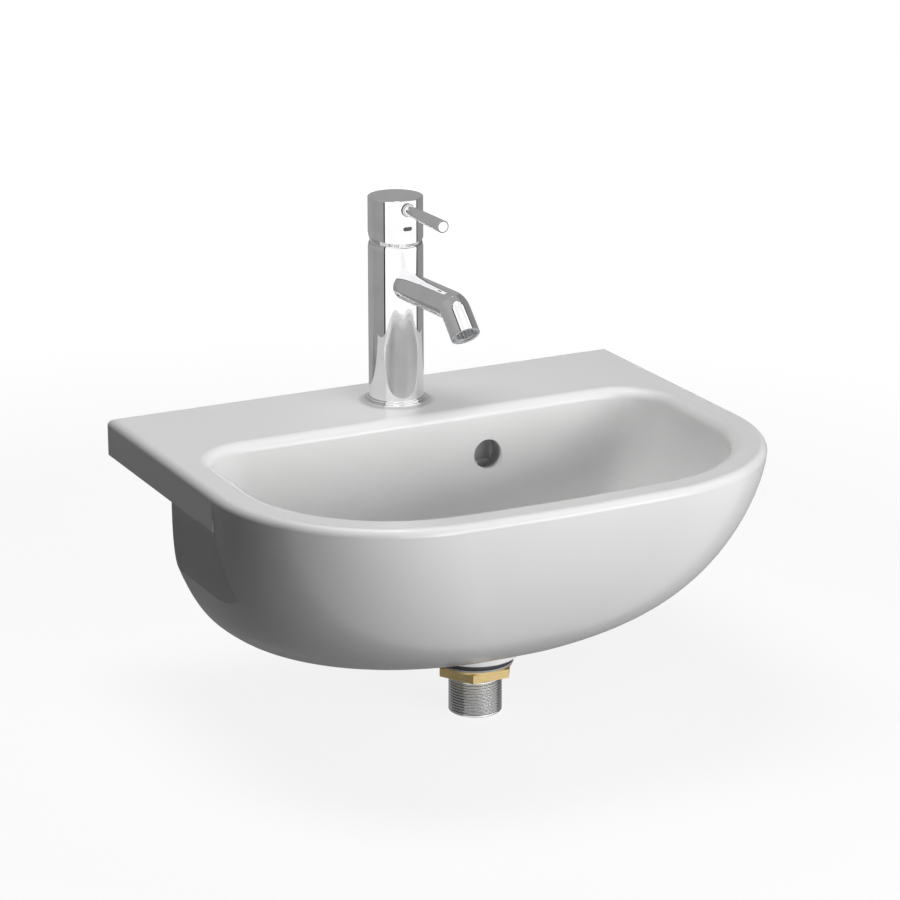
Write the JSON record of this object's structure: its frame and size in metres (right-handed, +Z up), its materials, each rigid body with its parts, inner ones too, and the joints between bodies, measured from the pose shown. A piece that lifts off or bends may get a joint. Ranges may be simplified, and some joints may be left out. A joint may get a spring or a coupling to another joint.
{
  "type": "semi recessed basin",
  "caption": "D-shaped semi recessed ceramic washbasin with one tap hole, an offset round overflow, a cylindrical single-lever mixer and a slotted click waste.",
  "frame": {"origin": "middle of the basin's rear face, at the level of the ledge's underside that rests on the counter", "axes": "+X to the user's right, +Y towards the wall, +Z up; millimetre STEP becomes metres with no offset"},
  "size_m": [0.45, 0.3599, 0.3835],
  "materials": {
    "china": "gloss",
    "chrome": "polished",
    "brass": "satin",
    "steel": "satin",
    "rubber": "matte",
    "white_plastic": "satin",
    "grey_plastic": "satin",
    "disc_ceramic": "satin",
    "index": "gloss"
  },
  "bodies": {
    "basin_and_tap": {"basin": "china", "waste_body": "chrome", "waste_flange_seal": "rubber", "waste_under_gasket": "rubber", "waste_washer": "grey_plastic", "waste_backnut": "brass", "plug_post": "brass", "plug_spring": "steel", "tap_base_ring": "chrome", "tap_base_seal": "rubber", "tap_body": "chrome", "spout": "chrome", "aerator_seal": "rubber", "aerator_housing": "chrome", "aerator_insert": "grey_plastic", "cartridge_body": "white_plastic", "cartridge_base": "white_plastic", "port_seals": "rubber", "fixed_disc": "disc_ceramic", "retaining_nut": "brass", "bonnet_ring": "grey_plastic", "fixing_stud": "brass", "horseshoe_washer": "rubber", "horseshoe_plate": "steel", "stud_nut": "brass"},
    "cartridge_turn": {"rotor": "grey_plastic", "pivot_pin": "steel"},
    "lever": {"stem": "steel", "handle_cap": "chrome", "lever_pin": "chrome", "lever_collar": "chrome", "grub_screw": "steel", "index_plug": "index"},
    "disc": {"disc_driver": "grey_plastic", "moving_disc": "disc_ceramic"},
    "plug": {"plug_cap": "chrome", "plug_seal": "rubber", "plug_sleeve": "white_plastic", "plug_plunger": "steel"}
  },
  "joints": [
    {"name": "handle_turn", "type": "hinge", "parent": "basin_and_tap", "child": "cartridge_turn", "pos_m": [0, -0.057, 0.166], "axis": [0, 0, 1], "range_deg": [-50, 50]},
    {"name": "lever_tilt", "type": "hinge", "parent": "cartridge_turn", "child": "lever", "pos_m": [0, -0.057, 0.166], "axis": [-1, 0, 0], "range_deg": [0, 22]},
    {"name": "disc_slide", "type": "slide", "parent": "cartridge_turn", "child": "disc", "axis": [0, -1, 0], "range_m": [0, 0.0033]},
    {"name": "plug_click", "type": "slide", "parent": "basin_and_tap", "child": "plug", "axis": [0, 0, 1], "range_m": [0, 0.009], "deforming": ["plug_spring"]}
  ],
  "couplings": [
    {"joint": "disc_slide", "follows": "lever_tilt", "m_per_rad": 0.00808}
  ]
}
